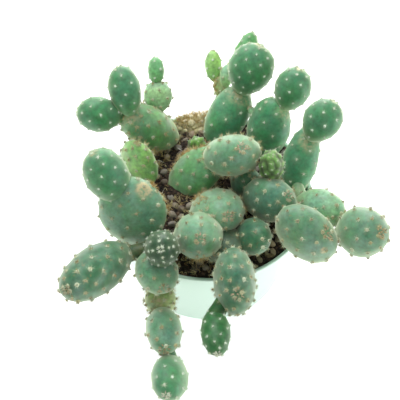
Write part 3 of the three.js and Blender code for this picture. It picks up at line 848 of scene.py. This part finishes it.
def patches(tree, place, size_mm, low, high, least=0.0, most=1.0, detail=2.0, ragged=0.5):
    """Patches of about the given size: noise from low to high makes them least to most."""
    cloud = add(tree, "ShaderNodeTexNoise", {
        "Vector": place, "Scale": 1 / (2 * size_mm * MM), "Detail": detail,
        "Roughness": ragged})
    return add(tree, "ShaderNodeMapRange", {"Value": cloud, "From Min": low, "From Max": high,
                                            "To Min": least, "To Max": most})


def dappled(tree, under, over, *pattern, **details):
    """One colour in patches over another."""
    share = patches(tree, *pattern, **details)
    return add(tree, "ShaderNodeMix", {0: share, 6: under, 7: over}, data_type="RGBA")


def mottled(tree, colour, *pattern, **details):
    """A colour with darker and lighter patches."""
    shade = patches(tree, *pattern, **details)
    return add(tree, "ShaderNodeVectorMath", {0: colour, "Scale": shade}, operation="SCALE")


def grainy(tree, place, size_mm, depth_mm, strength, detail=2.0, ragged=0.5):
    """Fine relief, as a direction for a shader."""
    relief = add(tree, "ShaderNodeTexNoise", {
        "Vector": place, "Scale": 1 / (2 * size_mm * MM), "Detail": detail,
        "Roughness": ragged})
    return add(tree, "ShaderNodeBump", {"Height": relief, "Strength": strength,
                                        "Distance": depth_mm * MM})


def skin_material(looks):
    """Cactus skin: green flesh under a waxy cuticle. The wax scatters light, so the skin is
    satin and dusty, palest where it is seen at a slant; old feet and scars are tan cork."""
    material, tree, place = new_material("waxy cactus skin")
    tint = add(tree, "ShaderNodeAttribute", attribute_name="tint")
    bloom, cork, rust, near = (add(tree, "ShaderNodeAttribute", attribute_name=name)
                               .outputs["Fac"] for name in ("bloom", "cork", "rust", "near"))
    skin = mottled(tree, tint, place, 1.25, 0.3, 0.7, 0.58, 1.38, detail=4.0, ragged=0.7)
    skin = dappled(tree, skin, tuple(looks.bloom_colour), place, 4.0, 0.35, 0.65, 0.0, bloom,
                   detail=4.0, ragged=0.75)
    halo = add(tree, "ShaderNodeMath", {0: near, 1: 0.28}, operation="MULTIPLY")
    skin = add(tree, "ShaderNodeMix", {0: halo, 6: skin, 7: linear("#9db58f")},
               data_type="RGBA")
    skin = dappled(tree, skin, linear("#9a7b4a"), place, 0.7, 0.53, 0.70, 0.0, rust,
                   ragged=0.6)
    skin = dappled(tree, skin, tuple(looks.cork_colour), place, 1.2, 0.35, 0.6, 0.0, cork,
                   detail=4.0, ragged=0.7)
    dust = add(tree, "ShaderNodeMapRange", {"Value": bloom, "From Max": 0.08, "To Min": 0.3,
                                            "To Max": looks.sheen})
    return finished(material, {
        "Base Color": skin, "Roughness": 0.5, "IOR": 1.42,
        "Normal": grainy(tree, place, 0.45, 0.12, 0.25, detail=3.0, ragged=0.6),
        "Coat Weight": 0.25, "Coat Roughness": 0.35, "Coat IOR": 1.45,
        "Specular IOR Level": 0.35, "Subsurface Weight": 0.1,
        "Subsurface Radius": (0.4, 1.0, 0.35), "Subsurface Scale": 2.0 * MM,
        "Sheen Weight": dust, "Sheen Roughness": 0.5, "Sheen Tint": linear("#ecefd0")})


def hair_material(name, roughness, sheen, speck_mm, darkest):
    """Plant wool and spines: the colour is each tuft's own, broken up by specks of shade."""
    material, tree, place = new_material(name)
    tint = add(tree, "ShaderNodeAttribute", attribute_name="tint")
    return finished(material, {
        "Base Color": mottled(tree, tint, place, speck_mm, 0.3, 0.7, darkest),
        "Roughness": roughness, "Sheen Weight": sheen})


def pot_material(looks):
    """Moulded polypropylene: satin and slightly translucent, so its colour looks deep and its
    gloss is soft, with faint flow marks from the mould."""
    material, tree, place = new_material("moulded mint polypropylene")
    return finished(material, {
        "Base Color": dappled(tree, linear("#c3decd"), tuple(looks.colour), place, 14, 0.3,
                              0.7, 0.94),
        "Roughness": patches(tree, place, 5, 0.0, 1.0, 0.32, 0.42),
        "Normal": grainy(tree, place, 0.8, 0.1, 0.06),
        "IOR": 1.49, "Subsurface Weight": 0.2, "Subsurface Radius": (0.9, 1.0, 0.95),
        "Subsurface Scale": 2.5 * MM})


def soil_material(looks):
    """Damp peat potting mix: near-black patches painted as the shade in its hollows, brown
    crumbs, a few pale grains of perlite, straw-coloured where chaff has dried on the heap; quite
    dull, as its surface is all pores."""
    material, tree, place = new_material("damp peat potting mix")
    dry = add(tree, "ShaderNodeAttribute", attribute_name="dry").outputs["Fac"]
    # Near-black patches over the peat colour: painted shade for the hollows between crumbs.
    soil = dappled(tree, linear("#140e0a"), tuple(looks.colour), place, 1.6, 0.35, 0.65,
                   detail=4.0, ragged=0.65)
    soil = dappled(tree, soil, linear("#857058"), place, 0.5, 0.66, 0.72, detail=1.0)
    soil = dappled(tree, soil, linear("#d3cb9c"), place, 1.6, 0.25, 0.6, 0.0, dry,
                   detail=4.0, ragged=0.65)
    return finished(material, {
        "Base Color": soil, "Roughness": 0.92,
        "Normal": grainy(tree, place, 0.7, 0.6, 0.8, detail=4.0, ragged=0.7)})


def grain_material(name, roughness, *colours):
    """Mixed stones, chips or crumbs: each has one of the colours, by its own random number,
    and a fine mineral grain of darker veins."""
    material, tree, place = new_material(name)
    pick = add(tree, "ShaderNodeAttribute", attribute_name="pick").outputs["Fac"]
    ramp = add(tree, "ShaderNodeValToRGB", {"Fac": pick})
    ramp.color_ramp.interpolation = "CONSTANT"
    while len(ramp.color_ramp.elements) < len(colours):
        ramp.color_ramp.elements.new(0.5)
    for number, colour in enumerate(colours):
        ramp.color_ramp.elements[number].position = number / len(colours)
        ramp.color_ramp.elements[number].color = linear(colour)
    return finished(material, {
        "Base Color": mottled(tree, ramp, place, 0.9, 0.3, 0.7, 0.58, 1.05, detail=3.0,
                              ragged=0.6),
        "Roughness": roughness,
        "Normal": grainy(tree, place, 0.5, 0.3, 0.4, detail=3.0, ragged=0.6)})


def floor_material(looks):
    """White seamless paper: matt, very faintly cloudy, lit so evenly that it hardly shows a
    shadow."""
    material, tree, place = new_material("white studio paper")
    colour = tuple(looks.floor_colour)
    return finished(material, {
        "Base Color": dappled(tree, colour, linear("#f7f9f7"), place, 150, 0.0, 1.0),
        "Roughness": 0.9, "Emission Color": colour, "Emission Strength": looks.floor_glow})


# ---------------------------------------------------------------- what a user can change
def length_property(name, description, default_mm):
    return FloatProperty(name=name, description=description, default=default_mm * MM,
                         min=0, unit="LENGTH", subtype="DISTANCE", precision=5)


def colour_property(name, description, default):
    return FloatVectorProperty(name=name, description=description, size=4, min=0, max=1,
                               subtype="COLOR", default=linear(default))


def amount_property(name, description, default, **limits):
    return FloatProperty(name=name, description=description, default=default, min=0, **limits)


class PotLooks(bpy.types.PropertyGroup):
    """The pot's sizes and colour."""
    height: length_property("Height", "Height of the pot", POT_HEIGHT)
    rim_radius: length_property("Rim radius", "Outer radius at the rim", POT_RIM_RADIUS)
    base_radius: length_property("Base radius", "Outer radius at the foot", POT_BASE_RADIUS)
    wall: length_property("Wall", "Thickness of the wall", POT_WALL)
    colour: colour_property("Colour", "Colour of the moulded plastic", "#d0e9da")


class SoilLooks(bpy.types.PropertyGroup):
    """The soil and what lies on it."""
    colour: colour_property("Soil colour", "Colour of the damp potting mix", "#3d2c20")
    pebble_size: length_property("Pebble size", "Half-length of the largest pebbles", 3.3)
    pebble_spacing: length_property("Pebble spacing", "Least distance between pebbles", 4.5)
    crumb_size: length_property("Crumb size", "Half-length of the largest crumbs", 1.5)
    heap: length_property("Heap", "Height of the gravel heaped at the back rim", 4.0)
    seed: IntProperty(name="Seed", description="Another number lays the grains anew",
                      default=4, min=0)


class PlantLooks(bpy.types.PropertyGroup):
    """The skin, felt and spines of the cactus."""
    bump: amount_property("Bumps", "Height of the bumps under the areoles", 1.0, max=3)
    bloom_colour: colour_property("Bloom", "Colour of the waxy bloom", "#8fb09c")
    cork_colour: colour_property("Cork", "Colour of old corky skin", "#beb48a")
    sheen: amount_property("Sheen", "How dusty the skin looks at its edges", 1.0, max=1,
                           subtype="FACTOR")
    spine_length: length_property("Spine length", "Length of the spines, which most bristles "
                                  "follow", SPINE_LENGTH)
    felt_radius: length_property("Felt radius", "Radius of a felt cushion", 0.66)


class StageLooks(bpy.types.PropertyGroup):
    """The floor, the light and the camera."""
    floor_colour: colour_property("Floor", "Colour of the floor", "#fcfcfc")
    floor_glow: amount_property("Floor glow", "Light that the floor gives", 0.55)
    sky: amount_property("Sky", "Strength of the even light", 0.62)
    key: amount_property("Key light", "Power of the large soft light", 4.2, unit="POWER")
    back: amount_property("Back light", "Power of the soft light from behind", 8.0,
                          unit="POWER")
    fill: amount_property("Fill light", "Power of the soft light on the pot", 1.7,
                          unit="POWER")
    focal_length: amount_property("Focal length", "Lens of the camera in mm", 60.0)


LOOKS = {"cactus_pot": PotLooks, "cactus_soil": SoilLooks, "cactus_plant": PlantLooks,
         "cactus_stage": StageLooks}


# ---------------------------------------------------------------- operators
def turned(outline, sides):
    """Rings of points in mm round the pot's axis, for the radii and heights of an outline."""
    angle = 2 * np.pi * np.arange(sides) / sides
    return np.array([(radius * math.cos(a), radius * math.sin(a), level)
                     for radius, level in outline for a in angle])


def pot_outline(looks):
    """The pot's section in mm, from the middle of its underside, by the foot, the wall and the
    rim, to the middle of its floor. Its foot and its rim have small rounds."""
    height, rim, foot, wall = (v / MM for v in (looks.height, looks.rim_radius,
                                                looks.base_radius, looks.wall))
    slope = (rim - foot) / height
    inner = foot + slope * POT_FLOOR - wall
    middle, ring, recess = FOOT_PAD_RADIUS, FOOT_INNER_RADIUS, FOOT_RECESS
    underside = [(middle - 0.6, 0), (middle, 0.1), (middle + 1.4, recess - 0.1),
                 (middle + 2, recess), (ring - 0.4, recess), (ring + 0.3, recess - 0.2),
                 (ring + 1.2, 0.2), (ring + 1.8, 0), (foot - 1, 0), (foot - 0.4, 0.15),
                 (foot - 0.05, 0.6), (foot, 1.2)]
    outside = [(foot + slope * z, z) for z in np.linspace(8, height - 4, 9)]
    lip = [(rim - 0.35, height - 2.2), (rim - 0.1, height - 1.4), (rim, height - 0.8),
           (rim - 0.15, height - 0.3), (rim - 0.6, height), (rim - wall + 0.8, height),
           (rim - wall + 0.25, height - 0.25), (rim - wall, height - 0.9)]
    inside = [(inner + 0.2 + slope * (z - 5), z) for z in (height - 8, 40, 20, 8, 5)]
    return underside + outside + lip + inside + [(inner - 0.7, POT_FLOOR + 0.4),
                                                 (inner - 2.2, POT_FLOOR)]


def drilled(obj, name):
    """The pot with its drain holes cut, as a plain mesh."""
    drills = []
    for number in range(DRAIN_COUNT):
        angle = number * 2 * math.pi / DRAIN_COUNT
        x, y = DRAIN_CIRCLE * math.cos(angle), DRAIN_CIRCLE * math.sin(angle)
        points, _, faces = rod_grid((x, y, -2), (x, y, POT_FLOOR + 2), DRAIN_RADIUS,
                                    DRAIN_RADIUS, 32, 2)
        drills.append(mesh_object("drill", points * MM, faces))
        cut = obj.modifiers.new("Drain hole", "BOOLEAN")
        cut.operation = "DIFFERENCE"
        cut.solver = "EXACT"
        cut.object = drills[-1]
    baked(obj, name)
    for drill in drills:
        bpy.data.objects.remove(drill, do_unlink=True)


class CACTUS_OT_pot(bpy.types.Operator):
    """Builds the pot: a turned wall with a thin plain rim, a recessed foot and drain holes"""
    bl_idname = "cactus.pot"
    bl_label = "Pot"

    def execute(self, context):
        looks = context.scene.cactus_pot
        outline, sides = pot_outline(looks), 160
        faces = rings_of_faces(0, len(outline), sides) + end_faces(len(outline), sides)
        obj = mesh_object("pot_body", turned(outline, sides) * MM, faces)
        drilled(obj, "pot_body")
        for polygon in obj.data.polygons:
            polygon.use_smooth = abs(polygon.normal.z) < 0.999
        obj.data.materials.clear()
        obj.data.materials.append(pot_material(looks))
        seat(obj, "pot_plastic", "pot")
        return {"FINISHED"}


BUILT_STEMS = {}


class CACTUS_OT_stems(bpy.types.Operator):
    """Builds the skin of the ten stems from the growth plan"""
    bl_idname = "cactus.stems"
    bl_label = "Stems"

    def execute(self, context):
        looks = context.scene.cactus_plant
        skin = skin_material(looks)
        seed = 1
        for name, pads in STEMS.items():
            obj, shells = build_stem(name.replace("stem", "skin"), pads, looks.bump, seed)
            obj.data.materials.append(skin)
            seat(obj, "cactus_skin", name)
            BUILT_STEMS[name] = shells
            seed += len(pads)
        return {"FINISHED"}


class CACTUS_OT_areoles(bpy.types.Operator):
    """Builds the felt cushions, bristles and spines on the areoles of the pads"""
    bl_idname = "cactus.areoles"
    bl_label = "Areoles and spines"

    def execute(self, context):
        if not BUILT_STEMS:
            raise RuntimeError("build the stems before their areoles")
        looks = context.scene.cactus_plant
        longer = looks.spine_length / (SPINE_LENGTH * MM)
        needles, cushions = needle_tree(), cushion_tree()
        wool = hair_material("areole wool", 0.95, 0.3, 0.3, 0.75)
        horn = hair_material("horny spine", 0.45, 0.0, 0.6, 0.7)
        places, outward, age, spacing, old, woolly, bristly = areole_seats(BUILT_STEMS)
        count = len(places)
        chance = np.random.default_rng(11)

        felt = blend("#dcefd8", "#bfc493", age * (0.3 + 0.7 * chance.random(count)))
        felt[:, :3] *= (0.85 + 0.3 * chance.random(count))[:, None]
        size = ((0.75 + 0.4 * chance.random(count)) * np.clip(spacing / 6.6, 0.5, 1.0)
                * (1 + 0.65 * age) * woolly)
        tufts("areole_felt", "cactus_skin", cushions,
              (places - outward * 0.1, outward, size, felt),
              radius=looks.felt_radius, dome=0.6, seed=3, finish=wool)
        bristles("areole_fuzz", needles, wool, (places, outward, size, felt), longer)

        brown = blend("#968a55", "#40331c", chance.random(count))
        size = 0.7 + 0.6 * chance.random(count)
        tufted = places[old], outward[old], size[old], brown[old]
        bristles("glochids", needles, horn, tufted, longer)

        gold = blend("#ecdcae", "#c2a25c", chance.random(count))
        size = (0.6 + 0.6 * chance.random(count)) * bristly
        tufted = places[old], outward[old], size[old], gold[old]
        bristles("golden_bristles", needles, horn, tufted, longer)

        edges, aims = fringe_seats(chance)
        gold = blend("#f0dcaa", "#c09347", chance.random(len(edges)))
        size = 0.6 + 0.6 * chance.random(len(edges))
        bristles("golden_fringe", needles, horn, (edges, aims, size, gold), longer)

        pale = blend("#f1eee2", "#d9c7a4", chance.random(count) * age)
        size = (0.5 + 0.35 * chance.random(count)) * (0.7 + 0.3 * age)
        bristles("spines", needles, horn, (places, outward, size, pale), longer)

        places, facing, sizes, tints, arms = star_seats()
        tufts("star_felt", "cactus_skin", cushions, (places, facing, sizes, tints),
              radius=looks.felt_radius, dome=0.5, seed=13, finish=wool)
        tints = tints * (1.1, 1.1, 1.1, 1)
        bristles("star_spines", needles, horn, (places, arms, sizes, tints))
        return {"FINISHED"}


def soil_shape(looks, pot):
    """The soil plug, which fills the pot: points in mm and faces. Its face is rough, and heaped
    at the back rim."""
    slope = (pot.rim_radius - pot.base_radius) / pot.height

    def inner(level):
        return (pot.base_radius - pot.wall) / MM + slope * level - SOIL_GAP

    sides, rings = 144, 44
    bottom, shoulder = POT_FLOOR + SOIL_GAP, 71
    broad = inner(shoulder)
    wall = [(inner(3) - 2.4, bottom), (inner(6), 6), (inner(40), 40), (broad, shoulder)]
    outline = wall + [(broad * (rings - ring) / rings, 0) for ring in range(rings)]
    x, y, z = turned(outline, sides).T
    edge = np.clip((broad - np.hypot(x, y)) / 2, 0, 1)
    flat = np.stack([x, y, 0 * x], axis=1)
    face = (soil_height(x, y) * edge + (shoulder + 0.5) * (1 - edge)
            + 0.9 * wave(flat, 3, 2) + 0.5 * wave(flat, 1.3, 5)
            + looks.heap / MM * heaped(x, y) * (0.4 + 0.6 * edge))
    on_wall = np.arange(len(z)) < len(wall) * sides
    points = np.stack([x, y, np.where(on_wall, z, face)], axis=1)
    points = np.concatenate([[(0, 0, bottom)], points, [(0, 0, soil_height(0, 0))]])
    faces = rings_of_faces(1, len(outline), sides)
    faces += caps(0, 1, len(points) - 1, len(points) - 1 - sides, sides)
    return points, faces


class CACTUS_OT_soil(bpy.types.Operator):
    """Builds the soil plug with its rough face and strews crumbs, stones and fibres on it"""
    bl_idname = "cactus.soil"
    bl_label = "Soil and gravel"

    def execute(self, context):
        looks = context.scene.cactus_soil
        points, faces = soil_shape(looks, context.scene.cactus_pot)
        bed = mesh_object("soil_bed", points * MM, faces)
        x, y, z = points.T
        heap = heaped(x, y)
        near = np.min([depth_in_pad(pad, points, 1.8) for pad in ALL_PADS], axis=0)
        clear = (z > SOIL_EDGE - 1) & (np.hypot(x, y) < POT_RIM_RADIUS - 4) & (near > 1)
        store(bed.data, "open", clear)
        store(bed.data, "dry", np.clip(1.6 * heap, 0, 1))
        bed.data.materials.append(soil_material(looks))
        self.strew_grains(looks, bed, clear, heap > 0.25, (x > 22) & (y < -34))
        seat(bed, "soil_and_gravel", "soil")
        self.strew_fibres(looks, points[clear])
        return {"FINISHED"}

    def strew_grains(self, looks, bed, clear, back, front_right):
        """Crumbs lie all over, gravel over most of the soil, paler gravel on the heap at the
        back, and bark chips at the front right."""
        loose = (
            ("soil_crumbs", clear & ~back, grain_material(
                "peat crumbs", 0.95, "#1d1510", "#35271d", "#4c3a2b", "#281d16", "#665140"),
             dict(spacing=1.1 * MM, density=7e5, smallest=0.35 * MM, largest=looks.crumb_size,
                  detail=1, roughness=0.6, sunk=0.1)),
            ("gravel", clear & ~front_right & ~back, grain_material(
                "river gravel", 0.7, "#8a8379", "#9c9081", "#70665b", "#a89680", "#5d5248",
                "#8f8472", "#77695a", "#bbaa94"),
             dict(spacing=looks.pebble_spacing, density=9e4, smallest=2.2 * MM,
                  largest=looks.pebble_size, detail=3, roughness=0.45, sunk=0.2)),
            ("pale_gravel", clear & back, grain_material(
                "straw-coloured gravel", 0.75, "#e8dfbc", "#dad0a8", "#f0e8cb", "#ccc096",
                "#e2d8b0", "#bcb288"),
             dict(spacing=2.9 * MM, density=1.2e5, smallest=1.3 * MM, largest=2.6 * MM,
                  detail=3, roughness=0.45, sunk=0.0)),
            ("bark_chips", clear & front_right, grain_material(
                "weathered bark chips", 0.85, "#8d8468", "#a4946f", "#6f6a52", "#b7a585",
                "#7d6c4c"),
             dict(spacing=3.4 * MM, density=9e4, smallest=1.6 * MM, largest=2.4 * MM,
                  stretch=1.9, tilt=0.25, detail=3, roughness=0.5, sunk=0.0)))
        scatter = scatter_tree()
        for number, (name, area, finish, sizes) in enumerate(loose):
            piece = bpy.data.objects.new(name, bed.data.copy())
            bpy.context.scene.collection.objects.link(piece)
            piece.data.attributes["open"].data.foreach_set("value", area.astype(np.float32))
            grow(piece, scatter, seed=looks.seed + number, finish=finish, **sizes)
            seat(baked(piece, name), "soil_and_gravel")

    def strew_fibres(self, looks, spots):
        """Dry root fibres lie on the soil, most of them golden and by the back rim, and a few
        long white spines have fallen between the pads."""
        chance = np.random.default_rng(looks.seed)
        at_front = (spots[:, 1] < -46) & (np.abs(spots[:, 0] + 5) < 25)
        likely = 0.09 + 2.0 * heaped(spots[:, 0], spots[:, 1]) + 0.5 * at_front
        spots = spots[chance.random(len(spots)) < likely * 0.7]
        around = np.radians(chance.uniform(89, 110, RIM_FIBRES))
        out = chance.uniform(53, 61, RIM_FIBRES)
        by_rim = np.stack([out * np.cos(around), out * np.sin(around),
                           0 * out + RIM_FIBRE_HEIGHT], axis=1)
        spots = np.concatenate([spots, by_rim])
        aim = chance.normal(size=(len(spots), 3)) * (1, 1, 0.4) + (0, 0, 0.5)
        tint = blend("#efdfa8", "#ab8c52", chance.random(len(spots)))
        size = 0.6 + 0.8 * chance.random(len(spots))
        needles = needle_tree()
        straw = hair_material("dry fibre", 0.7, 0.0, 0.8, 0.7)
        bristles("root_fibres", needles, straw, (spots + (0, 0, 0.8), aim, size, tint),
                 slot="soil_and_gravel")

        feet, tips = (np.array(ends, float) for ends in zip(*FALLEN_SPINES))
        ways = tips - feet
        size = np.linalg.norm(ways, axis=1) / FALLEN_LENGTH
        white = np.array([linear("#f3f0e8")] * len(ways))
        bristles("fallen_spines", needles, straw, (feet, ways, size, white),
                 slot="soil_and_gravel")


class CACTUS_OT_stage(bpy.types.Operator):
    """Sets up the white floor, the soft light and the camera"""
    bl_idname = "cactus.stage"
    bl_label = "Stage"

    def execute(self, context):
        scene = context.scene
        looks = scene.cactus_stage
        half = 3.0
        floor = mesh_object("floor", [(-half, -half, 0), (half, -half, 0), (half, half, 0),
                                      (-half, half, 0)], [(0, 1, 2, 3)], smooth=False)
        floor.data.materials.append(floor_material(looks))

        world = bpy.data.worlds.new("even white light")
        scene.world = world
        world.use_nodes = True
        background = world.node_tree.nodes["Background"]
        background.inputs["Color"].default_value = (1, 1, 1, 1)
        background.inputs["Strength"].default_value = looks.sky

        for name, power, size, place in (
                ("key softbox", looks.key, 0.5, (-0.15, 0.35, 0.7)),
                ("back softbox", looks.back, 0.8, (0.1, 0.9, 0.25)),
                ("fill softbox", looks.fill, 0.25, (0.6, -0.22, 0.04))):
            lamp = bpy.data.lights.new(name, "AREA")
            lamp.shape = "DISK"
            lamp.size = size
            lamp.energy = power
            self.aimed(scene, lamp, Vector(place), AIM_POINT - Vector(place))

        lens = bpy.data.cameras.new("camera")
        lens.sensor_width = 36
        lens.lens = looks.focal_length
        lens.clip_start = 0.01
        forward = Vector((0, math.cos(CAMERA_ELEVATION), -math.sin(CAMERA_ELEVATION)))
        scene.camera = self.aimed(scene, lens, AIM_POINT - forward * CAMERA_DISTANCE, forward)
        scene.view_settings.view_transform = "Standard"
        scene.view_settings.look = "None"
        return {"FINISHED"}

    def aimed(self, scene, data, place, forward):
        """An object for a light or camera, put in its place and turned to look forward."""
        obj = bpy.data.objects.new(data.name, data)
        obj.location = place
        obj.rotation_euler = forward.to_track_quat("-Z", "Y").to_euler()
        scene.collection.objects.link(obj)
        return obj


class CACTUS_PT_panel(bpy.types.Panel):
    """The cactus's pieces and what can be changed on them"""
    bl_idname = "CACTUS_PT_panel"
    bl_label = "Potted paddle cactus"
    bl_space_type = "VIEW_3D"
    bl_region_type = "UI"
    bl_category = "Cactus"

    def draw(self, context):
        for name, group in LOOKS.items():
            box = self.layout.box()
            for prop in group.__annotations__:
                box.prop(getattr(context.scene, name), prop)
        for operator in OPERATORS:
            self.layout.operator(operator.bl_idname)


OPERATORS = (CACTUS_OT_stage, CACTUS_OT_pot, CACTUS_OT_soil, CACTUS_OT_stems,
             CACTUS_OT_areoles)


def register():
    for name, group in LOOKS.items():
        bpy.utils.register_class(group)
        setattr(bpy.types.Scene, name, PointerProperty(type=group))
    for item in (*OPERATORS, CACTUS_PT_panel):
        bpy.utils.register_class(item)


def unregister():
    for item in (CACTUS_PT_panel, *reversed(OPERATORS)):
        bpy.utils.unregister_class(item)
    for name, group in LOOKS.items():
        delattr(bpy.types.Scene, name)
        bpy.utils.unregister_class(group)


def main():
    register()
    bpy.ops.cactus.stage()
    bpy.ops.cactus.pot()
    bpy.ops.cactus.soil()
    bpy.ops.cactus.stems()
    bpy.ops.cactus.areoles()


if __name__ == "__main__":
    main()
